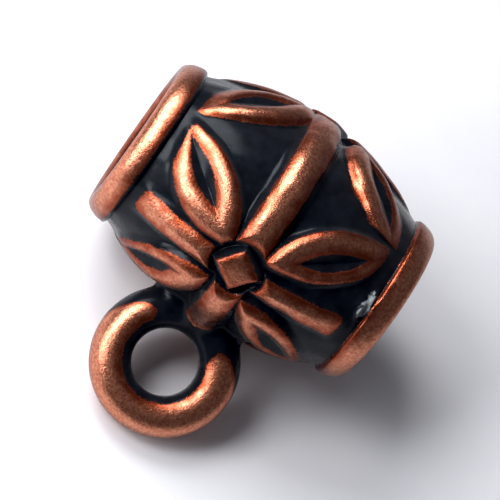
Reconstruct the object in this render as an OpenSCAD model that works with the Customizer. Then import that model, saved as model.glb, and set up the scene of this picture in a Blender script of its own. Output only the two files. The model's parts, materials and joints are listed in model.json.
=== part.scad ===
// Cast jewellery bail: a barrel that slides on a cord, with a loop for the pendant.
// The barrel lies along X. The loop and the back of the barrel rest on the same surface,
// which is below, so the loop's plane leans down from the barrel towards -Y.
// The origin is the middle of the cord bore.

/* [Barrel] */
// Length over both rims
barrel_len = 10; // [8:0.1:14]
// Radius of the sunk ground at mid length
ground_r = 3.61; // [3.4:0.01:4.4]
// Radius of the sunk ground beside the rims
neck_r = 2.83; // [2.6:0.01:3.2]
// Radius of the bore that the cord passes through
bore_r = 2.12; // [1.6:0.01:2.3]

/* [Rims] */
// Outer radius of the bead round each end
rim_r = 2.96; // [2.8:0.01:3.2]
// Thickness of that bead
rim_wire = 0.88; // [0.6:0.02:1]

/* [Loop] */
// Radius of the hole through the loop
loop_hole_r = 1.1; // [0.9:0.02:1.6]
// Width of the loop from its hole to its outer edge
loop_wire = 1.36; // [1.1:0.02:1.8]
// Thickness of the loop, measured along its hole
loop_thick = 1.43; // [1.2:0.01:1.8]
// How deep the loop's outer edge is fused into the barrel
loop_sink = 0.54; // [0.4:0.01:0.8]

/* [Flowers] */
// Flowers round the barrel
flower_count = 3; // [3:1:4]
// Height of the pattern above the ground at mid length
relief_h = 0.42; // [0.2:0.01:0.5]
// Height that is left of it beside the rims
relief_end_h = 0.02; // [0:0.01:0.2]
// Radius of the sunk moat round each flower's boss
moat_r = 0.97; // [0.8:0.01:1.1]
// Side of the square boss in each flower's middle
boss_side = 1.06; // [0.8:0.02:1.2]
// Turn of that boss about its middle, in degrees
boss_turn = 55; // [0:1:90]

/* [Petals] */
// Direction from a flower's middle to the root of an open petal, in degrees from a short bar
petal_root_turn = 50; // [40:1:65]
// Gap between the tip of an open petal and the bead of the rim
petal_gap = 0.32; // [0.1:0.02:0.8]
// Width of an open petal on the side towards the long bar
petal_bulge_out = 1.02; // [0.7:0.02:1.2]
// Width of an open petal on the side towards the short bar
petal_bulge_in = 0.84; // [0.6:0.02:1]
// Width of the slot in an open petal
slot_w = 0.64; // [0.4:0.02:0.8]
// Width of a short bar at the boss
bar_root_w = 0.72; // [0.4:0.02:0.8]
// Width of a short bar at its outer end
bar_end_w = 0.88; // [0.5:0.02:1]
// Gap between the outer end of a short bar and the bead of the rim
bar_gap = 0.4; // [0.1:0.02:0.8]
// Width of the long bar that runs on from flower to flower
band_w = 1.02; // [0.7:0.02:1.2]

/* [Hidden] */
$fn = 96;
half_len = barrel_len / 2;
flower_half = 180 / flower_count;
crest_r = ground_r + relief_h;
// The ground is one arc along the barrel through its radius at mid length and at both necks,
// and the crest of the pattern is a rounder arc of its own.
neck_x = half_len - rim_wire;
ground_bulge_r = bulge_r(ground_r - neck_r);
crest_bulge_r = bulge_r(crest_r - neck_r - relief_end_h);
rim_wire_r = rim_wire / 2;
// The loop is a round wire bent to a ring, cut through by its straight hole.
loop_outer_r = loop_hole_r + loop_wire;
loop_section_r = loop_thick / 2;
loop_bend_r = loop_outer_r - loop_section_r;
loop_reach = ground_r + loop_outer_r - loop_sink;
// The crest of the back flower and the loop's far end touch one level surface.
rest_tilt = asin((crest_r - loop_section_r) / (loop_reach + loop_bend_r));
loop_turn = 90 + rest_tilt;
// An open petal starts inside the moat, which cuts its root off blunt, and its tip ends just
// short of the line that parts two flowers. Places round the barrel are angles from the
// flower's middle.
petal_root_r = 0.9 * moat_r;
petal_root_x = petal_root_r * cos(petal_root_turn);
petal_root_a = asin(petal_root_r * sin(petal_root_turn) / crest_r);
petal_tip_x = neck_x - petal_gap;
petal_tip_a = 0.95 * flower_half;
petal_mid_a = (petal_root_a + petal_tip_a) / 2;
// The slot's ends, as shares of the petal's length.
slot_start = 0.28;
slot_end = 0.82;
bar_end_x = neck_x - bar_gap;
// Cutters and lower ends of the raised shapes stay inside the wall or run clear of it.
seat_z = (bore_r + neck_r) / 2;
past = 1;

// Radius of the arc that rises by the given sagitta over the given chord.
function arc_r(chord, sagitta) = (chord * chord / 4 + sagitta * sagitta) / (2 * sagitta);

// Radius of the arc along the barrel that falls by the given sagitta from mid length to the necks.
function bulge_r(sagitta) = arc_r(2 * neck_x, sagitta);

// Radius of the pattern's crest at a distance x from mid length.
function crest_at(x) = crest_r - crest_bulge_r + sqrt(crest_bulge_r * crest_bulge_r - x * x);

// Solid of revolution about X under an arc of radius side_r that is top_r high at mid length.
module bulged_core(top_r, side_r, length)
    rotate([0, 90, 0]) rotate_extrude() intersection() {
        translate([top_r - side_r, 0]) circle(r = side_r, $fn = 360);
        translate([0, -length / 2]) square([top_r + past, length]);
    }

// Pointed oval from start to end, with its own bulge on each side of that line.
module pointed_oval(start, end, bulge_left, bulge_right) {
    run = end - start;
    chord = norm(run);
    left_r = arc_r(chord, bulge_left);
    right_r = arc_r(chord, bulge_right);
    translate(start) rotate(atan2(run.y, run.x)) intersection() {
        translate([chord / 2, bulge_left - left_r]) circle(r = left_r, $fn = 180);
        translate([chord / 2, right_r - bulge_right]) circle(r = right_r, $fn = 180);
    }
}

// Upright prism from inside the wall to above the crest.
module raised() translate([0, 0, seat_z]) linear_extrude(crest_r + past - seat_z) children();

// One open petal, in the quarter towards +X and +Y of a flower that faces +Z.
module open_petal() {
    root = [petal_root_x, -crest_at(petal_root_x) * sin(petal_mid_a - petal_root_a)];
    tip = [petal_tip_x, crest_at(petal_tip_x) * sin(petal_tip_a - petal_mid_a)];
    run = tip - root;
    rotate([-petal_mid_a, 0, 0]) raised() difference() {
        pointed_oval(root, tip, petal_bulge_out, petal_bulge_in);
        pointed_oval(root + slot_start * run, root + slot_end * run, slot_w / 2, slot_w / 2);
    }
}

// One short bar along the barrel, towards +X.
module short_bar()
    raised() polygon([
        [0, -bar_root_w / 2], [bar_end_x, -bar_end_w / 2],
        [bar_end_x, bar_end_w / 2], [0, bar_root_w / 2]
    ]);

// The open petals and short bars of one flower that faces +Z.
module petals()
    for (side_x = [0, 1]) mirror([side_x, 0, 0]) {
        short_bar();
        for (side_y = [0, 1]) mirror([0, side_y, 0]) open_petal();
    }

// Puts a flower's shape at each flower's place; the loop lies midway between two of them.
module at_flowers()
    for (i = [0 : flower_count - 1])
        rotate([loop_turn + (2 * i + 1) * flower_half, 0, 0]) children();

// The raised pattern: petals and bars cut off at each moat, with the bosses inside.
module relief()
    intersection() {
        bulged_core(crest_r, crest_bulge_r, 2 * neck_x);
        union() {
            difference() {
                union() {
                    at_flowers() petals();
                    cube([band_w, 2 * (crest_r + past), 2 * (crest_r + past)], center = true);
                }
                at_flowers() raised() circle(r = moat_r);
            }
            at_flowers() raised() rotate(boss_turn) square(boss_side, center = true);
        }
    }

// The bead round one end of the barrel.
module rim(side)
    translate([side * (half_len - rim_wire_r), 0, 0]) rotate([0, 90, 0]) rotate_extrude()
        translate([rim_r - rim_wire_r, 0]) circle(r = rim_wire_r);

// The loop, with its hole's axis level with the barrel's side at the place where it is fused.
module loop()
    rotate([loop_turn, 0, 0]) translate([0, 0, loop_reach]) rotate([90, 0, 0]) difference() {
        rotate_extrude() translate([loop_bend_r, 0]) circle(r = loop_section_r);
        cylinder(r = loop_hole_r, h = loop_thick + past, center = true);
    }

// The whole casting: one piece of metal.
module bail() color([0.72, 0.36, 0.2])
    difference() {
        union() {
            bulged_core(ground_r, ground_bulge_r, barrel_len - rim_wire);
            relief();
            rim(-1);
            rim(1);
            loop();
        }
        rotate([0, 90, 0]) cylinder(r = bore_r, h = barrel_len + past, center = true);
    }

bail();
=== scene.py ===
# %% [markdown]
# A cast jewellery bail: a small barrel that slides on a cord, with a loop for a pendant.
# The real one is one casting in soft white metal, plated with copper, dipped in a patina
# that turns it blue-black, and tumbled, so that only the raised parts are copper again.
# It could be put together from petals, bars and rings on a tube, but then each corner
# would show a seam that a casting doesn't have. So this lesson makes one skin of metal in
# numpy, blends the loop into the barrel, and lets one number on each point say how far
# the tumbling reached.

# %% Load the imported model, which fixes every size and place
import json
import math

import bpy
import numpy as np
from mathutils import Matrix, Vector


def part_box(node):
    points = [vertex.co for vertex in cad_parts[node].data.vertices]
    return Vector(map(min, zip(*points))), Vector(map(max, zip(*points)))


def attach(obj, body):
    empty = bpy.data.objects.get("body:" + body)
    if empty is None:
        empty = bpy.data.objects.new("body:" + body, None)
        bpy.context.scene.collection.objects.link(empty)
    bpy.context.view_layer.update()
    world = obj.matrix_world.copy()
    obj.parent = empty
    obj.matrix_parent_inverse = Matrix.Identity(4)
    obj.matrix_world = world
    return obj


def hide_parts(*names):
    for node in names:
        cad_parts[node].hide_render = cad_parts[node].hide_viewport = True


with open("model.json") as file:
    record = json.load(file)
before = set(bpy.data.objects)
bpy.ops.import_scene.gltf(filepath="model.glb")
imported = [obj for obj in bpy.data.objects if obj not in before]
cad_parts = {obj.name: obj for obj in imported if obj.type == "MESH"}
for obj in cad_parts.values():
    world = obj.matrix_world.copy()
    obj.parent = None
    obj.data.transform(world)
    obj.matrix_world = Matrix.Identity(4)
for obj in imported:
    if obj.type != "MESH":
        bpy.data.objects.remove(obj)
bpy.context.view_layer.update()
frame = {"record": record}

MM = 0.001
low, high = [np.array(corner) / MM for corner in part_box("bail")]
mounts = {mount["name"]: mount for mount in frame["record"]["mounts"]}
print("bail, mm:", np.round(high - low, 2))

# %% [markdown]
# The sizes below are in millimetres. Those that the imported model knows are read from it:
# the barrel's length, the level it lies on, its bore, and the place and hole of the loop.
# The rest are measured on the real object's outline, and the CAD solid has the same ones.
# Places round the barrel are angles from straight up, growing towards -Y.

# %% Sizes that the whole casting shares
HALF_LEN = high[0]
CREST_R = -low[2]
BORE_R = mounts["cord_bore"]["dims"]["r_mm"]
LOOP_HOLE_R = mounts["loop_hole"]["dims"]["r_mm"]
loop_centre = np.array(mounts["loop_hole"]["pos_m"]) / MM
LOOP_REACH = math.hypot(loop_centre[1], loop_centre[2])
LOOP_TURN = math.atan2(-loop_centre[1], loop_centre[2])
RELIEF_H = 0.42
GROUND_R = CREST_R - RELIEF_H
NECK_R = 2.83
CREST_BULGE_R = 7.8
RIM_R = 2.96
RIM_WIRE_R = 0.44
LOOP_OUTER_R = 2.46
LOOP_SECTION_R = 0.715
FLOWERS = 3
FLOWER_HALF = math.pi / FLOWERS
print("crest radius", CREST_R, "loop reach", round(LOOP_REACH, 3))
print("loop turn, degrees:", round(math.degrees(LOOP_TURN), 1))

# %% [markdown]
# The barrel's side is one arc, from neck to neck, and a rounded bead ends it on both
# sides. A lathe could turn that profile, but the flowers have to stand on it too. So the
# side is a height map: a function that takes a place on the barrel and answers how far
# the metal reaches there. It keeps the whole pattern in one skin, as casting does.

# %% The barrel's side and its rims
NECK_X = HALF_LEN - 2 * RIM_WIRE_R
SAG = GROUND_R - NECK_R
BULGE_R = (NECK_X ** 2 + SAG ** 2) / (2 * SAG)
RIM_X = HALF_LEN - RIM_WIRE_R
RIM_MID_R = RIM_R - RIM_WIRE_R
# The bead's crown lies this far from the middle of its width towards the barrel.
CROWN_SHIFT = 0.31
CROWN_X = RIM_X - CROWN_SHIFT
NECK_FILLET = 0.16


def soft_max(a, b, width):
    """The larger of two values, rounded off where they differ by less than width."""
    gap = np.clip(width - np.abs(a - b), 0, None)
    return np.maximum(a, b) + gap ** 2 / (4 * width)


def ground_radius(x):
    """Radius of the bare ground at x: the barrel's arc, run softly up into the rim's bead.
    The bead is a quarter of a narrow ellipse up to its crown and of a wide one beyond."""
    arc = GROUND_R - BULGE_R + np.sqrt(BULGE_R ** 2 - x ** 2)
    off = np.abs(x) - CROWN_X
    share = off / np.where(off < 0, RIM_WIRE_R - CROWN_SHIFT, RIM_WIRE_R + CROWN_SHIFT)
    bead = RIM_MID_R + RIM_WIRE_R * np.sqrt(1 - np.clip(share, -1, 1) ** 2)
    return soft_max(arc, bead, NECK_FILLET)


def crest_radius(x):
    """Radius of the petals' crests at x: an arc that meets the ground beside the rims."""
    return CREST_R - CREST_BULGE_R + np.sqrt(CREST_BULGE_R ** 2 - np.clip(np.abs(x), 0, NECK_X) ** 2)


def full_height(x):
    """Height of the crests above the bare ground at x."""
    arc = GROUND_R - BULGE_R + np.sqrt(BULGE_R ** 2 - np.clip(np.abs(x), 0, NECK_X) ** 2)
    return np.maximum(crest_radius(x) - arc, 0)


print("ground and crest radius at mid length and at the necks:",
      [round(float(radius(x)), 2) for radius in (ground_radius, crest_radius) for x in (0, NECK_X)])

# %% [markdown]
# A mould is cut by hand, so on the real bail no two petals are quite alike. One even petal
# could stand for all of them, but the difference shows. Short tables give each petal and
# bar that shows its own numbers, and the hidden ones share an even row.

# %% Sizes of the petals, bars and bosses
# From the loop on, the hidden flower comes first, then the top one, then the front one.
TOP_FLOWER = 1
# An open petal's row: its root along and round the barrel from the flower's middle, its
# tip along and round it, its bulge towards the long bar and towards the short bar, and
# the slot's start and end as shares of the way from root to tip.
EVEN_PETAL = (0.58, 0.78, 3.80, 3.05, 1.02, 0.84, 0.28, 0.82)
TOP_PETAL = (1.00, 1.00, 3.75, 3.50, 1.08, 0.75, 0.28, 0.84)
FRONT_PETALS = (
    (0.60, 0.52, 4.00, 2.70, 1.02, 1.08, 0.31, 0.86),
    (0.57, 0.72, 4.16, 3.00, 1.12, 0.71, 0.25, 0.76),
    (0.56, 0.86, 3.50, 3.23, 1.04, 0.73, 0.36, 0.86),
    (0.70, 0.95, 3.65, 3.15, 0.80, 0.85, 0.34, 0.84),
)
# Each flower's petals: the -x and +x one before its middle, then the same two after it.
PETALS = np.array([(EVEN_PETAL,) * 4, (EVEN_PETAL,) * 3 + (TOP_PETAL,), FRONT_PETALS])
# A short bar's row: its middle line at the root and at the end, and half its width at
# both. Each flower has the -x one and then the +x one.
EVEN_BAR = (0.0, 0.0, 0.36, 0.44)
FRONT_BARS = ((0.20, 0.33, 0.40, 0.45), (0.11, 0.07, 0.34, 0.46))
BARS = np.array([(EVEN_BAR,) * 2, (EVEN_BAR,) * 2, FRONT_BARS])
# The long bar between flowers, from the loop on: its middle line and half its width.
BANDS = np.array([(0.07, 0.48), (0.0, 0.51), (-0.12, 0.53)])
# Each flower's moat and the place of its boss. The top moat is partly filled with metal.
MOAT_R = np.array([0.97, 0.84, 0.97])
BOSS_X = np.array([0.0, 0.0, -0.09])
BOSS_HALF = 0.53
BOSS_TURN = math.radians(35)
SLOT_HALF = 0.32
# Petals and short bars end here, with corners rounded off over this width.
END_X = 3.72
CORNER_R = 0.3
print("petals with a row of their own:", 1 + len(FRONT_PETALS))

# %% [markdown]
# Every petal and bar is drawn flat, as a signed distance: negative inside its outline,
# positive outside, in millimetres. An open petal is the overlap of two round discs, so
# its distance is the larger of the distances to the two circles. Outlines made of points
# would do too, but a distance also tells how far off the edge is, which shapes the wall.

# %% Flat outlines as signed distances
def oval_distance(x, y, start, end, bulge_left, bulge_right):
    """Signed distance to a pointed oval: the overlap of two discs whose arcs both run
    from start to end and stand out from that line by the two bulges."""
    run = [end[0] - start[0], end[1] - start[1]]
    chord = np.hypot(*run)
    along = ((x - start[0]) * run[0] + (y - start[1]) * run[1]) / chord - chord / 2
    across = ((y - start[1]) * run[0] - (x - start[0]) * run[1]) / chord
    left_r = (chord ** 2 / 4 + bulge_left ** 2) / (2 * bulge_left)
    right_r = (chord ** 2 / 4 + bulge_right ** 2) / (2 * bulge_right)
    left = np.hypot(along, across - (bulge_left - left_r)) - left_r
    right = np.hypot(along, across + (bulge_right - right_r)) - right_r
    return np.maximum(left, right)


def flower_place(around):
    """Flowers passed since the loop, the flower's number, and the angle from its middle,
    for an angle around the barrel."""
    lap = (around - LOOP_TURN) / (2 * FLOWER_HALF) % FLOWERS
    flower = np.minimum(lap.astype(int), FLOWERS - 1)
    return lap, flower, (lap - flower - 0.5) * 2 * FLOWER_HALF


def flower_distances(x, around):
    """Signed distances to the bars, the petals, their slots and the bosses, for a place x
    along the barrel and an angle around it."""
    x, around = np.broadcast_arrays(x, around)
    lap, flower, turned = flower_place(around)
    arc = turned * crest_radius(x)
    band = np.moveaxis(BANDS[np.rint(lap).astype(int) % FLOWERS], -1, 0)
    band = np.abs(x - band[0]) - band[1]
    x = x - BOSS_X[flower]
    side_x, side_arc = np.abs(x), np.abs(arc)
    right, after = (x > 0).astype(int), (arc > 0).astype(int)
    moat = MOAT_R[flower] - np.hypot(x, arc)
    row = np.moveaxis(PETALS[flower, 2 * after + right], -1, 0)
    root, tip = row[0:2], row[2:4]
    petal = oval_distance(side_x, side_arc, root, tip, row[4], row[5])
    run = tip - root
    slot = oval_distance(side_x, side_arc, root + row[6] * run, root + row[7] * run, SLOT_HALF, SLOT_HALF)
    petal = np.maximum(soft_max(petal, side_x - END_X, CORNER_R), moat)
    bar = np.moveaxis(BARS[flower, right], -1, 0)
    share = np.clip(side_x / END_X, 0, 1)
    bar_half = bar[2] + (bar[3] - bar[2]) * share
    bars = soft_max(np.abs(arc - bar[0] - (bar[1] - bar[0]) * share) - bar_half, side_x - END_X, CORNER_R)
    cos_t, sin_t = math.cos(BOSS_TURN), math.sin(BOSS_TURN)
    boss = np.maximum(np.abs(x * cos_t + arc * sin_t), np.abs(arc * cos_t - x * sin_t)) - BOSS_HALF
    return np.maximum(np.minimum(bars, band), moat), petal, slot, boss


# %% [markdown]
# On the casting a crest is a low crown, and below its edge the wall drops steeply and runs
# out in a hollow curve. That curve catches a grey line of light in the dark ground beside
# each petal. Sculpting would give it too, but two short formulas of the distance give it
# everywhere at once. Where two shapes come close, the higher of their heights wins.

# %% Crowns and walls from a distance
# A crown's width inwards from the edge, and its drop at the edge as a share of the height.
ROUND_CROWN = (0.46, 0.42)
BOSS_CROWN = (0.2, 0.14)
# The ridge between a petal's outline and its slot is rounded off over this width.
RIDGE_W = 0.34
WALL_W = 0.3
WALL_POWER = 2.0
SLOT_POWER = 1.25
# A slot's walls run down over this share of half its width, so they meet just above the
# ground.
SLOT_REACH = 1.05


def crown_share(distance, crown):
    """Height inside an outline, as a share: one from the crown's width inwards, and less by
    its drop at the edge."""
    width, drop = crown
    return 1 - drop * (1 - np.clip(-distance / width, 0, 1)) ** 2


def wall_share(distance, width, power):
    """Height outside an outline, as a share of the edge's: down to zero in a hollow curve."""
    return np.clip(1 - distance / width, 0, 1) ** power


def raised_share(distance, crown):
    """Height of a shape from its signed distance: the crown inside and the wall outside."""
    wall = (1 - crown[1]) * wall_share(distance, WALL_W, WALL_POWER)
    return np.where(distance < 0, crown_share(distance, crown), wall)


# %% [markdown]
# A cast surface is never quite even. A noise texture could bend it, but it would leave a
# step where the barrel closes on itself. So the unevenness is a sum of a few sine waves
# with whole numbers of turns round the barrel, drawn from a seeded generator.

# %% The uneven hand of the mould
# The edges of the shapes wander by about this much, and the whole surface by this much.
WOBBLE = 0.018
UNEVEN = 0.008
# The surface lies this far in, so that its high places keep to the solid's size.
INSET = 0.01
# A pale flake stands by the right rim, and its pale grey is partly a painted glint: its place, half widths,
# height and roughness.
FLAKE = (3.98, math.radians(37))
FLAKE_SIZE = (0.22, 0.6)
FLAKE_H = 0.16
FLAKE_ROUGH = 0.5


def ripple(x, around, seed, waves=9, scale=1.1):
    """A sum of seeded sine waves over the barrel's surface, each with a whole number of
    turns round it, so that the pattern closes."""
    draw = np.random.default_rng(seed)
    total = np.zeros(np.broadcast(x, around).shape)
    for _ in range(waves):
        turns = draw.integers(4, 26)
        lengthwise = draw.uniform(-6, 6) * scale
        total += np.sin(turns * around + lengthwise * x + draw.uniform(0, 2 * np.pi))
    return total / np.sqrt(waves)


def near_place(x, around, place, size):
    """Share from 1 at a place on the barrel down to 0, as a bell of the given half widths
    in millimetres along x and round the barrel."""
    off = (around - place[1] + np.pi) % (2 * np.pi) - np.pi
    return np.exp(-((x - place[0]) / size[0]) ** 2 - (off * crest_radius(x) / size[1]) ** 2)


# %% [markdown]
# Now the outlines and the crowns come together. A slot could be a shape of its own that
# is taken away, but as a groove in its petal it gets the same rounded ridge on both sides.

# %% Height of the relief, and the barrel's radius anywhere
def relief_height(x, around):
    """Height of the metal above the ground: the highest of the bars, bosses and petals,
    with each petal's slot cut into it as a groove with a V floor."""
    wobble = WOBBLE * ripple(x, around, seed=4)
    bars, petal, slot, boss = [distance + wobble for distance in flower_distances(x, around)]
    ridge = raised_share(soft_max(petal, -slot, RIDGE_W), ROUND_CROWN)
    groove = (1 - ROUND_CROWN[1]) * wall_share(-slot, SLOT_HALF * SLOT_REACH, SLOT_POWER)
    share = np.maximum(np.where(slot < 0, groove, ridge), raised_share(bars, ROUND_CROWN))
    return full_height(x) * np.maximum(share, raised_share(boss, BOSS_CROWN))


def barrel_radius(x, around):
    """Outer radius of the barrel anywhere: ground plus relief, with the cast surface's
    slow unevenness, and the rough lump of the flake."""
    rough = 1 + FLAKE_ROUGH * ripple(x, around, seed=7, scale=4)
    lump = near_place(x, around, FLAKE, FLAKE_SIZE) * rough
    uneven = UNEVEN * ripple(x, around, seed=11, scale=0.6) - INSET
    return ground_radius(x) + relief_height(x, around) + uneven + FLAKE_H * lump


print("radius on a boss and on a long bar:",
      [round(float(barrel_radius(0.0, LOOP_TURN + turn)), 2) for turn in (FLOWER_HALF, 2 * FLOWER_HALF)])

# %% [markdown]
# The barrel is a closed profile carried round the X axis: out over the left bead, along
# the side, over the right bead and back through the bore. Screw or Spin could carry a
# plain profile, but this one changes with the angle, so it is a grid of points. The rows
# lie close together where the relief is, and far apart in the bore.

# %% Meshes and objects from arrays
def add_object(name, data):
    """A new object in the scene, at the origin, unturned and unscaled."""
    thing = bpy.data.objects.new(name, data)
    bpy.context.scene.collection.objects.link(thing)
    return thing


def mesh_from_grid(name, points):
    """A closed quad mesh from points[i, j], joined up in both directions. Its faces point
    outwards where the step in i crossed with the step in j does."""
    rows, columns = points.shape[:2]
    index = np.arange(rows * columns).reshape(rows, columns)
    below = np.roll(index, -1, axis=0)
    quads = np.stack([index, below, np.roll(below, -1, axis=1), np.roll(index, -1, axis=1)], axis=-1)
    mesh = bpy.data.meshes.new(name)
    mesh.vertices.add(rows * columns)
    mesh.vertices.foreach_set("co", (points * MM).astype(np.float32).ravel())
    mesh.loops.add(quads.size)
    mesh.loops.foreach_set("vertex_index", quads.astype(np.int32).ravel())
    mesh.polygons.add(rows * columns)
    mesh.polygons.foreach_set("loop_start", np.arange(0, quads.size, 4, dtype=np.int32))
    mesh.update(calc_edges=True)
    mesh.validate()
    return add_object(name, mesh)


# %% The barrel as one grid
COLUMNS = 840
SIDE_ROWS = 296
BEAD_ROWS = 26
BORE_ROWS = 14


def barrel_grid():
    """Points of the barrel's closed profile, carried round X. From the bore's mouth the bead
    is an arc of a circle, then the wide quarter ellipse up to its crown; the side between
    the two crowns is a height map. The rows are turned about, so that faces point outwards."""
    mouth = math.asin((BORE_R - RIM_MID_R) / RIM_WIRE_R)
    sweep = np.linspace(mouth, math.pi / 2, BEAD_ROWS, endpoint=False)
    wide = np.where(sweep < 0, RIM_WIRE_R, RIM_WIRE_R + CROWN_SHIFT)
    bead_x = HALF_LEN - wide * (1 - np.cos(sweep))
    bead_r = RIM_MID_R + RIM_WIRE_R * np.sin(sweep)
    side_x = np.linspace(-CROWN_X, CROWN_X, SIDE_ROWS)
    bore_x = np.linspace(bead_x[0], -bead_x[0], BORE_ROWS + 2)[1:-1]
    x = np.concatenate([-bead_x, side_x, bead_x[::-1], bore_x])
    plain_r = np.concatenate([bead_r, ground_radius(side_x), bead_r[::-1], np.full(BORE_ROWS, BORE_R)])
    around = np.linspace(0, 2 * np.pi, COLUMNS, endpoint=False)
    x, around = x[:, None], around[None, :]
    r = np.repeat(plain_r[:, None], COLUMNS, axis=1)
    side = slice(BEAD_ROWS, BEAD_ROWS + SIDE_ROWS)
    r[side] = barrel_radius(x[side], around)
    x = np.repeat(x, COLUMNS, axis=1)
    return np.stack([x, -r * np.sin(around), r * np.cos(around)], axis=-1)[::-1]


barrel = mesh_from_grid("barrel", barrel_grid())
print("barrel:", len(barrel.data.polygons), "quads")

# %% [markdown]
# The loop is a round wire bent to a ring. A torus has that shape, but the real hole is
# straight, as if drilled, so here the section is held back to the hole's radius. The
# ring's plane holds the X axis and leans down from the barrel, and three unit vectors
# carry it there.

# %% The loop as one grid
LOOP_COLUMNS = 220
LOOP_ROWS = 84
LOOP_BEND_R = LOOP_OUTER_R - LOOP_SECTION_R
# The corner between the wire and its hole is rounded off over this width.
HOLE_ROUNDING = 0.06
ALONG = np.array([1.0, 0.0, 0.0])
OUTWARD = np.array([0.0, -math.sin(LOOP_TURN), math.cos(LOOP_TURN)])
THROUGH = np.cross(ALONG, OUTWARD)


def loop_grid():
    """Points of a ring: an angle round the ring and an angle round its wire. The distance
    from the ring's middle never falls below the hole's radius."""
    ring = np.linspace(0, 2 * np.pi, LOOP_COLUMNS, endpoint=False)[:, None]
    wire = np.linspace(0, 2 * np.pi, LOOP_ROWS, endpoint=False)[None, :]
    out = soft_max(LOOP_BEND_R + LOOP_SECTION_R * np.cos(wire), LOOP_HOLE_R + 0 * ring, HOLE_ROUNDING)
    through = LOOP_SECTION_R * np.sin(wire) + 0 * ring
    flat = (out * np.cos(ring))[..., None] * ALONG, (out * np.sin(ring))[..., None] * OUTWARD
    return LOOP_REACH * OUTWARD + flat[0] + flat[1] + through[..., None] * THROUGH


loop = mesh_from_grid("loop", loop_grid())
print("loop:", len(loop.data.polygons), "quads")

# %% [markdown]
# Molten metal leaves no sharp corner where the loop meets the barrel. Bevel could round
# the seam, but it stumbles over a seam this uneven. So a Boolean joins the two skins, and
# then every point near the seam moves out to the surface where a rounded minimum of the
# two distances is zero. That is a fillet, worked out and not modelled by hand.

# %% Distances to the barrel and to the loop
FILLET = 0.5
# Keeps a division off zero in the middle of the loop.
TINY = 1e-6


def barrel_place(points):
    """Place along the barrel, radius and angle around it of each point."""
    return points[:, 0], np.hypot(points[:, 1], points[:, 2]), np.arctan2(-points[:, 1], points[:, 2])


def loop_place(points):
    """Places along and outward in the ring's plane, through it, and out from its middle."""
    from_middle = points - LOOP_REACH * OUTWARD
    along, outward, through = from_middle @ ALONG, from_middle @ OUTWARD, from_middle @ THROUGH
    return along, outward, through, np.hypot(along, outward)


def barrel_distance(points):
    """About the distance from points to the barrel's outer skin, negative inside."""
    x, r, around = barrel_place(points)
    return r - barrel_radius(np.clip(x, -RIM_X, RIM_X), around)


def loop_distance(points):
    """Distance from points to the loop's round wire, negative inside."""
    _, _, through, out = loop_place(points)
    return np.hypot(out - LOOP_BEND_R, through) - LOOP_SECTION_R


def joined_distance(points):
    """Rounded minimum of the two distances: the smaller one, less a fillet near the seam."""
    return -soft_max(-barrel_distance(points), -loop_distance(points), FILLET)


# %% [markdown]
# Three jobs are left to modifiers: the Boolean joins the skins, Decimate takes out
# triangles where the metal is nearly flat, and Weld closes the last tiny edges. Numpy
# moves the points in between.

# %% Tools for a mesh that is made already
def mesh_points(mesh):
    """The mesh's points in millimetres, as one array."""
    flat = np.empty(len(mesh.vertices) * 3, np.float32)
    mesh.vertices.foreach_get("co", flat)
    return flat.reshape(-1, 3).astype(float) / MM


def with_modifier(piece, kind, **settings):
    """A new mesh: the piece's mesh with one modifier applied."""
    modifier = piece.modifiers.new(kind, kind)
    for key, value in settings.items():
        setattr(modifier, key, value)
    graph = bpy.context.evaluated_depsgraph_get()
    mesh = bpy.data.meshes.new_from_object(piece.evaluated_get(graph))
    piece.modifiers.remove(modifier)
    return mesh


# %% Join the loop to the barrel and fill the corner
TRIANGLES = 190000
# The Boolean leaves a few edges of no length, which a weld at this distance takes out.
SHORTEST_EDGE = 0.0001 * MM
# The way to the fillet: rounds, the step that measures the slope, and its least square.
ROUNDS = 4
SLOPE_STEP = 0.01
LEAST_SLOPE = 0.3


def fill_corner(mesh):
    """Moves the points near the seam along the slope of the joined distance to its zero,
    and keeps them out of the loop's hole."""
    points = mesh_points(mesh)
    near = (np.abs(barrel_distance(points)) < FILLET) & (np.abs(loop_distance(points)) < FILLET)
    moved = points[near]
    for _ in range(ROUNDS):
        value = joined_distance(moved)
        rise = [joined_distance(moved + SLOPE_STEP * axis) - value for axis in np.eye(3)]
        slope = np.stack(rise, axis=-1) / SLOPE_STEP
        moved -= (value / np.maximum((slope ** 2).sum(axis=1), LEAST_SLOPE))[:, None] * slope
    from_middle = moved - LOOP_REACH * OUTWARD
    through = from_middle @ THROUGH
    flat = from_middle - through[:, None] * THROUGH
    out = np.linalg.norm(flat, axis=1)
    short = np.clip(LOOP_HOLE_R - out, 0, None) * (np.abs(through) < LOOP_SECTION_R)
    points[near] = moved + (short / np.maximum(out, TINY))[:, None] * flat
    mesh.vertices.foreach_set("co", (points * MM).astype(np.float32).ravel())
    mesh.update()
    return int(near.sum())


joined = with_modifier(barrel, "BOOLEAN", operation="UNION", object=loop, solver="MANIFOLD")
print("seam points moved:", fill_corner(joined))
casting = add_object("bail_casting", joined)
joined.calc_loop_triangles()
casting.data = with_modifier(casting, "DECIMATE", ratio=TRIANGLES / len(joined.loop_triangles))
casting.data = with_modifier(casting, "WELD", merge_threshold=SHORTEST_EDGE)
for helper in (barrel, loop):
    bpy.data.objects.remove(helper)
casting.data.calc_loop_triangles()
casting.data.shade_smooth()
print("casting:", len(casting.data.loop_triangles), "triangles")

# %% [markdown]
# Tumbling rubs the patina off what stands out. Pointiness could find the edges, but not
# the broad crests, and it fails in an exported model. So one number on each point says how
# far that place lies inside the rubbed metal: one is well on a crest, zero is deep in a
# recess, and one half is the edge between them.

# %% How far each place was rubbed bright
# The number runs from zero to one over this many millimetres.
EDGE_W = 1.0
# The left and right bead are bright from here outwards, and this far round into the bore.
BEAD_EDGE_X = HALF_LEN - np.array([0.71, 0.84])
MOUTH_TURN = math.radians(48)
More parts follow.
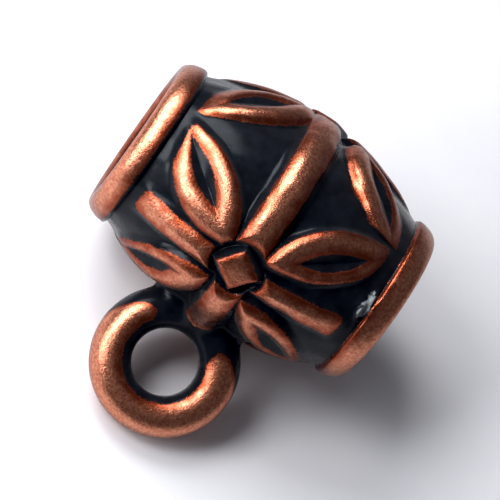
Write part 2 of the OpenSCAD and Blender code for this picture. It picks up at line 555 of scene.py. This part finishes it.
# The top flower is rubbed this far down the outer walls of its petals, on the near side.
LOW_RUB = 0.16
# Places where the polish missed or reached further: where, half widths, and by how much.
PATCHES = (
    ((-4.0, math.radians(24)), (0.24, 0.5), -0.4),
    ((1.55, math.radians(-12)), (0.3, 0.6), 0.14),
)
# The loop is bright outside this radius, which is a little smaller towards +x.
LOOP_EDGE_R = 1.38
LOOP_EDGE_SHIFT = 0.08
# It stays dark within this angle of its root, and within more of it off the wire's middle.
LOOP_ROOT_TURN = math.radians(46)
LOOP_ROOT_R = 1.72
LOOP_ROOT_SPREAD = math.radians(72)


def inside_bright_barrel(points):
    """How far each point lies inside the barrel's bright metal, negative outside it: on a
    bar, boss or petal but not in its slot, or on a bead but not down in the bore."""
    x, r, around = barrel_place(points)
    bars, petal, slot, boss = flower_distances(x, around)
    _, flower, turned = flower_place(around)
    petal = petal - LOW_RUB * ((flower == TOP_FLOWER) & (turned > 0))
    on_relief = -np.minimum(np.minimum(bars, boss), np.maximum(petal, -slot))
    on_relief += sum(change * near_place(x, around, place, size) for place, size, change in PATCHES)
    mouth_turn = np.arctan2(RIM_MID_R - r, np.maximum(np.abs(x) - RIM_X, 0))
    on_bead = np.minimum(np.abs(x) - BEAD_EDGE_X[(x > 0).astype(int)], (MOUTH_TURN - mouth_turn) * RIM_WIRE_R)
    return np.where(r < RIM_MID_R, on_bead, np.maximum(on_relief, on_bead))


def inside_bright_loop(points):
    """The same for the loop: outside a ring round its hole, and away from its root."""
    along, outward, _, out = loop_place(points)
    from_root = np.arccos(np.clip(-outward / np.maximum(out, TINY), -1, 1))
    root_edge = LOOP_ROOT_TURN + LOOP_ROOT_SPREAD * (out - LOOP_ROOT_R) ** 2
    loop_edge = LOOP_EDGE_R - LOOP_EDGE_SHIFT * along / np.maximum(out, TINY)
    return np.minimum(out - loop_edge, (from_root - root_edge) * out)


def add_share(mesh, name, share):
    """Keeps one number for each point on the mesh, for its material to read."""
    attribute = mesh.attributes.new(name, "FLOAT", "POINT")
    attribute.data.foreach_set("value", share.astype(np.float32))


points = mesh_points(casting.data)
nearer_loop = loop_distance(points) < barrel_distance(points)
inside = np.where(nearer_loop, inside_bright_loop(points), inside_bright_barrel(points))
rubbed = np.clip(0.5 + inside / EDGE_W, 0, 1)
x, _, around = barrel_place(points)
add_share(casting.data, "rubbed", rubbed)
# The flake's share, which also carries its painted glint.
add_share(casting.data, "flake_glint_share", near_place(x, around, FLAKE, FLAKE_SIZE))
print("bright share of the points:", round(float((rubbed > 0.5).mean()), 2))

# %% [markdown]
# A material is a tree of nodes. Its colours are chosen as a screen shows them, in sRGB,
# and the nodes want them linear. One small function adds any node with its settings and
# links, so that a finish reads from top to bottom.

# %% Material helpers
def linear(hex_colour):
    """Linear colour, with alpha, from an sRGB hex value."""
    parts = [int(hex_colour[i:i + 2], 16) / 255 for i in (1, 3, 5)]
    return [p / 12.92 if p <= 0.04045 else ((p + 0.055) / 1.055) ** 2.4 for p in parts] + [1.0]


def add_node(tree, kind, inputs=(), out=0, **settings):
    """Adds a node with its settings, and answers the output that out numbers or names.
    Each input is a value, or another node's output."""
    node = tree.nodes.new(kind)
    for key, value in settings.items():
        setattr(node, key, value)
    for key, value in dict(inputs).items():
        if isinstance(value, bpy.types.NodeSocket):
            tree.links.new(value, node.inputs[key])
        else:
            node.inputs[key].default_value = value
    return node.outputs[out] if node.outputs else None


def new_material(name):
    """A material with an empty node tree, and that tree."""
    material = bpy.data.materials.new(name)
    material.use_nodes = True
    material.node_tree.nodes.clear()
    return material, material.node_tree


# %% [markdown]
# The metal has two finishes. Copper plate that was tumbled is a metal with a satin, finely
# grained surface. The patina is a thin dark oxide: nearly black, a little blue, and smooth
# enough to show grey lights. Two materials would meet in a line of triangles, so one
# material holds both, as the real skin does, and noise makes the edge between them ragged.

# %% Colours and patterns of the antiqued copper
# Bright copper, from its darker grains to its lighter ones.
COPPER = ("#B8725A", "#D69677")
# Copper beside the patina: partly a stain where the tumbling only just reached, and partly painted shade
# towards the recesses.
STAINED_AND_SHADED_COPPER = "#92482E"
PATINA = ("#131519", "#1D2026")
# The flake's grey: partly its own pale colour, partly a painted glint.
FLAKE_GREY_AND_GLINT = "#868B8C"
# A thin film takes about half of the glare off the metal where it turns away.
FILM_TINT = "#B4C4CC"
# Each noise's feature size on the metal in mm, and its detail. The finest are about two
# pixels of the photograph wide, which is coarser than the real grain.
NOISES = {
    "ragged edge": (0.08, 4.0),
    "wandering edge": (0.5, 2.0),
    "pits": (0.2, 3.0),
    "stain_and_shade": (0.35, 3.0),
    "copper tone": (0.1, 2.0),
    "patina tone": (0.5, 3.0),
    "copper gloss": (0.05, 2.0),
    "dents": (0.3, 2.0),
    "grain": (0.055, 3.0),
    "flake": (0.15, 3.0),
}
BUMP_H = 0.012 * MM


# %% Where the metal is bright, and where it is flaked
def noise_patterns(tree):
    """The output of one noise for each row of NOISES, laid out on the casting in mm."""
    place = add_node(tree, "ShaderNodeTexCoord", out="Object")
    noise = {}
    for name, (size, detail) in NOISES.items():
        noise[name] = add_node(tree, "ShaderNodeTexNoise", {
            "Vector": place, "Scale": 1 / (size * MM), "Detail": detail})
    return noise


def bright_share(tree, noise, rubbed):
    """Share of bright metal: it begins where the rubbed share and two noises together pass
    a level, and pits in it stay dark."""
    edge = add_node(tree, "ShaderNodeMath", {0: noise["ragged edge"], 1: 0.17, 2: rubbed},
                    operation="MULTIPLY_ADD")
    edge = add_node(tree, "ShaderNodeMath", {0: noise["wandering edge"], 1: 0.09, 2: edge},
                    operation="MULTIPLY_ADD")
    bright = add_node(tree, "ShaderNodeMapRange", {"Value": edge, "From Min": 0.605, "From Max": 0.65})
    sound = add_node(tree, "ShaderNodeMapRange", {
        "Value": noise["pits"], "From Min": 0.73, "From Max": 0.78, "To Min": 1.0, "To Max": 0.0})
    return add_node(tree, "ShaderNodeMath", {0: bright, 1: sound}, operation="MULTIPLY")


def off_flake_glint_share(tree, noise):
    """Share of the surface off the flake and its painted glint, torn by a noise of its own."""
    flake_glint_share = add_node(tree, "ShaderNodeAttribute", attribute_name="flake_glint_share", out="Fac")
    flake_glint_share = add_node(tree, "ShaderNodeMath", {0: noise["flake"], 1: 1.8, 2: flake_glint_share},
                      operation="MULTIPLY_ADD")
    return add_node(tree, "ShaderNodeMapRange", {
        "Value": flake_glint_share, "From Min": 1.4, "From Max": 1.65, "To Min": 1.0, "To Max": 0.0})


# %% Colour of the two finishes
def finish_colour(tree, noise, rubbed, bright, whole):
    """Copper goes from stained and darker beside the patina, partly as painted shade, to clean on the crests,
    with fine grains of two tones. The patina is mottled, and the flake is one pale grey, partly as a painted
    glint."""
    grains = add_node(tree, "ShaderNodeMapRange", {
        "Value": noise["copper tone"], "From Min": 0.35, "From Max": 0.65})
    copper = add_node(tree, "ShaderNodeMix", {0: grains, 6: linear(COPPER[0]), 7: linear(COPPER[1])},
                      data_type="RGBA", out=2)
    # Darker copper near the patina's edge: partly a stain, partly painted shade towards the recesses.
    clean = add_node(tree, "ShaderNodeMath", {0: noise["stain_and_shade"], 1: 0.5, 2: rubbed},
                     operation="MULTIPLY_ADD")
    clean = add_node(tree, "ShaderNodeMapRange", {"Value": clean, "From Min": 0.8, "From Max": 1.1})
    copper = add_node(tree, "ShaderNodeMix", {0: clean, 6: linear(STAINED_AND_SHADED_COPPER), 7: copper},
                      data_type="RGBA", out=2)
    mottle = add_node(tree, "ShaderNodeMapRange", {
        "Value": noise["patina tone"], "From Min": 0.35, "From Max": 0.7})
    patina = add_node(tree, "ShaderNodeMix", {0: mottle, 6: linear(PATINA[0]), 7: linear(PATINA[1])},
                      data_type="RGBA", out=2)
    colour = add_node(tree, "ShaderNodeMix", {0: bright, 6: patina, 7: copper}, data_type="RGBA", out=2)
    return add_node(tree, "ShaderNodeMix", {0: whole, 6: linear(FLAKE_GREY_AND_GLINT), 7: colour},
                    data_type="RGBA", out=2)


# %% Roughness and bumps of the two finishes
def finish_roughness(tree, noise, bright):
    """Copper is satin and the patina glossier, and both vary a little."""
    copper = add_node(tree, "ShaderNodeMapRange", {
        "Value": noise["copper gloss"], "From Min": 0.3, "From Max": 0.7, "To Min": 0.26, "To Max": 0.35})
    patina = add_node(tree, "ShaderNodeMapRange", {
        "Value": noise["dents"], "From Min": 0.3, "From Max": 0.7, "To Min": 0.2, "To Max": 0.3})
    return add_node(tree, "ShaderNodeMix", {0: bright, 2: patina, 3: copper})


def finish_normal(tree, noise, bright):
    """Fine grain roughens the copper far more than the patina, and shallow dents lie under
    both."""
    strength = add_node(tree, "ShaderNodeMapRange", {"Value": bright, "To Min": 0.2, "To Max": 1.0})
    grain = add_node(tree, "ShaderNodeBump", {
        "Height": noise["grain"], "Strength": strength, "Distance": BUMP_H})
    return add_node(tree, "ShaderNodeBump", {
        "Height": noise["dents"], "Strength": 0.5, "Distance": BUMP_H, "Normal": grain})


# %% Antiqued copper plate
def antiqued_copper():
    """Copper plate, blackened and tumbled: two finishes mixed by the rubbed attribute. The
    flake is no metal. The patina's oxide reflects little, and a thin lacquer and the last
    dust of the tumbling lie on everything."""
    material, tree = new_material("antiqued_copper_plate")
    noise = noise_patterns(tree)
    rubbed = add_node(tree, "ShaderNodeAttribute", attribute_name="rubbed", out="Fac")
    bright = bright_share(tree, noise, rubbed)
    # The share off the flake, whose pale grey is partly a painted glint.
    whole = off_flake_glint_share(tree, noise)
    metal = add_node(tree, "ShaderNodeMath", {0: bright, 1: whole}, operation="MULTIPLY")
    shader = add_node(tree, "ShaderNodeBsdfPrincipled", {
        "Base Color": finish_colour(tree, noise, rubbed, bright, whole),
        "Metallic": metal,
        "Roughness": finish_roughness(tree, noise, bright),
        "Normal": finish_normal(tree, noise, bright),
        "Specular IOR Level": 0.1, "Specular Tint": linear(FILM_TINT),
        "Coat Weight": 0.18, "Coat Roughness": 0.2, "Sheen Weight": 0.1})
    add_node(tree, "ShaderNodeOutputMaterial", {"Surface": shader})
    return material


casting.data.materials.clear()
casting.data.materials.append(antiqued_copper())
print("nodes in the material:", len(casting.data.materials[0].node_tree.nodes))

# %% [markdown]
# The finished casting stands for the CAD solid. It could ride along beside that solid, but
# two skins in one place would flicker, so it replaces the solid.

# %% Put the casting in the frame
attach(casting, "root")
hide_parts("bail")

# %% [markdown]
# The bail lies on a sheet of white paper. A bare white plane would look like plastic, so
# the paper is matt and has a faint mottle of fibres. It goes grey where the casting
# screens it from the windows.

# %% The paper
SHEET_SIZE = 400 * MM
PAPER = ("#EBEBEF", "#F2F1F2")
FIBRE_SIZE = 2.5 * MM


def white_paper():
    """Matt white paper with a faint cool mottle."""
    material, tree = new_material("white_paper")
    place = add_node(tree, "ShaderNodeTexCoord", out="Object")
    mottle = add_node(tree, "ShaderNodeTexNoise", {"Vector": place, "Scale": 1 / FIBRE_SIZE, "Detail": 3.0})
    colour = add_node(tree, "ShaderNodeMix", {0: mottle, 6: linear(PAPER[0]), 7: linear(PAPER[1])},
                      data_type="RGBA", out=2)
    shader = add_node(tree, "ShaderNodeBsdfPrincipled", {"Base Color": colour, "Roughness": 0.9})
    add_node(tree, "ShaderNodeOutputMaterial", {"Surface": shader})
    return material


half = SHEET_SIZE / 2
level = -CREST_R * MM
corners = [(-half, -half, level), (half, -half, level), (half, half, level), (-half, half, level)]
sheet = bpy.data.meshes.new("paper")
sheet.from_pydata(corners, [], [(0, 1, 2, 3)])
sheet.materials.append(white_paper())
floor = add_object("paper", sheet)
print("paper at z, mm:", round(level / MM, 2))

# %% [markdown]
# The photograph looks down on the bail from close by, with the camera rolled, so that the
# barrel slopes across the picture. The camera could be placed by eye, but three angles,
# each measured on the outline, give three unit vectors: back towards the camera, and right
# and up in the picture. The lights use the same three.

# %% Camera, at the photograph's angle and roll
# The camera's distance in mm, the picture's scale and width, and the pixel that shows the
# bore's middle.
VIEW_DISTANCE = 89.0
PIXELS_PER_MM = 30.86
FRAME_PIXELS = 500
BORE_PIXEL = (261.75, 221.2)
# The barrel's slope in the picture, the camera's lean towards -x, and its turn from
# straight above towards -Y.
AXIS_SLOPE = math.radians(34.9)
LEAN = math.radians(5.55)
VIEW_TURN = math.radians(30.7)
NEAREST = 1 * MM


def placed(x_axis, y_axis, z_axis, place):
    """World matrix from three unit axes and a place in millimetres."""
    turn = np.eye(4)
    turn[:3, 0], turn[:3, 1], turn[:3, 2], turn[:3, 3] = x_axis, y_axis, z_axis, place * MM
    return Matrix(turn.tolist())


upright = math.cos(LEAN)
back = np.array([-math.sin(LEAN), -math.sin(VIEW_TURN) * upright, math.cos(VIEW_TURN) * upright])
seen_axis = ALONG - back * back[0]
seen_axis /= np.linalg.norm(seen_axis)
seen_up = np.cross(back, seen_axis)
right = math.cos(AXIS_SLOPE) * seen_axis + math.sin(AXIS_SLOPE) * seen_up
up = math.cos(AXIS_SLOPE) * seen_up - math.sin(AXIS_SLOPE) * seen_axis
shift_right = (FRAME_PIXELS / 2 - BORE_PIXEL[0]) / PIXELS_PER_MM
shift_up = (BORE_PIXEL[1] - FRAME_PIXELS / 2) / PIXELS_PER_MM
target = shift_right * right + shift_up * up

camera_data = bpy.data.cameras.new("camera")
camera_data.lens = camera_data.sensor_width * VIEW_DISTANCE / (FRAME_PIXELS / PIXELS_PER_MM)
camera_data.clip_start = NEAREST
camera = add_object("camera", camera_data)
camera.matrix_world = placed(right, up, back, target + VIEW_DISTANCE * back)
bpy.context.scene.camera = camera
print("camera lens", round(camera_data.lens, 1), "elevation", round(math.degrees(math.asin(back[2])), 1))

# %% [markdown]
# The picture was taken by daylight, and each long highlight on the metal is a window. A
# sky texture would light it too, but it can't be aimed at a petal. So three soft area
# lights stand where the highlights say that the windows are: a wide one beyond the top of
# the picture, one nearer the camera at the upper left, and a small one at the left.

# %% Windows
# Each stands this far off in mm: nearer than a real window, and smaller to match.
WINDOW_DISTANCE = 70
WINDOW_COLOUR = "#FBFCFF"
# Each window's direction as shares of up, right and back, the direction of its width as
# shares of up and right, its width and height in mm, and its power in watts.
WINDOWS = {
    "window": ((0.86, -0.08, 0.5), (0.0, 1.0), (42, 35), 0.048),
    "near_window": ((0.45, -0.38, 0.81), (0.69, 0.73), (32, 26), 0.034),
    "left_window": ((0.13, -0.75, 0.64), (1.0, 0.0), (22, 22), 0.017),
}


def in_picture(up_share, right_share, back_share=0.0):
    """A direction from its shares of up, right and back."""
    return up_share * up + right_share * right + back_share * back


def area_light(name, towards, width_along, size, power):
    """A soft light that shines at the casting from a direction, with its width turned
    along another."""
    data = bpy.data.lights.new(name, "AREA")
    data.shape = "RECTANGLE"
    data.size, data.size_y = size[0] * MM, size[1] * MM
    data.energy = power
    data.color = linear(WINDOW_COLOUR)[:3]
    lamp = add_object(name, data)
    outwards = towards / np.linalg.norm(towards)
    across = width_along - (width_along @ outwards) * outwards
    across /= np.linalg.norm(across)
    lamp.matrix_world = placed(across, np.cross(outwards, across), outwards, outwards * WINDOW_DISTANCE)


for name, (towards, width_along, size, power) in WINDOWS.items():
    area_light(name, in_picture(*towards), in_picture(*width_along), size, power)
print("windows:", len(WINDOWS))

# %% [markdown]
# The walls of the room send back some of the daylight, more from the side of the wide
# window. An even grey would do that nearly as well, but the soft change keeps the dark
# side of the casting darker. The picture itself has strong contrast and deep blacks, and
# the view settings give the render the same.

# %% The room and the picture's contrast
ROOM_COLOUR = "#EAEDF6"
ROOM_DARK_SIDE = 0.175
ROOM_WINDOW_SIDE = 0.23
# A gamma below one darkens the middle tones, and whatever is below the black level turns
# black.
GAMMA = 0.88
BLACK = (0.008, 0.008, 0.007)

world = bpy.data.worlds.new("room")
bpy.context.scene.world = world
world.use_nodes = True
room = world.node_tree
room.nodes.clear()
way = add_node(room, "ShaderNodeTexCoord", out="Generated")
window_way = in_picture(*WINDOWS["window"][0])
side = add_node(room, "ShaderNodeVectorMath", {0: way, 1: window_way.tolist()},
                operation="DOT_PRODUCT", out="Value")
strength = add_node(room, "ShaderNodeMapRange", {
    "Value": side, "To Min": ROOM_DARK_SIDE, "To Max": ROOM_WINDOW_SIDE})
glow = add_node(room, "ShaderNodeBackground", {"Color": linear(ROOM_COLOUR), "Strength": strength})
add_node(room, "ShaderNodeOutputWorld", {"Surface": glow})

view = bpy.context.scene.view_settings
view.view_transform = "Standard"
view.gamma = GAMMA
view.use_curve_mapping = True
view.curve_mapping.black_level = BLACK
view.curve_mapping.update()
print("room light:", ROOM_DARK_SIDE, "to", ROOM_WINDOW_SIDE)
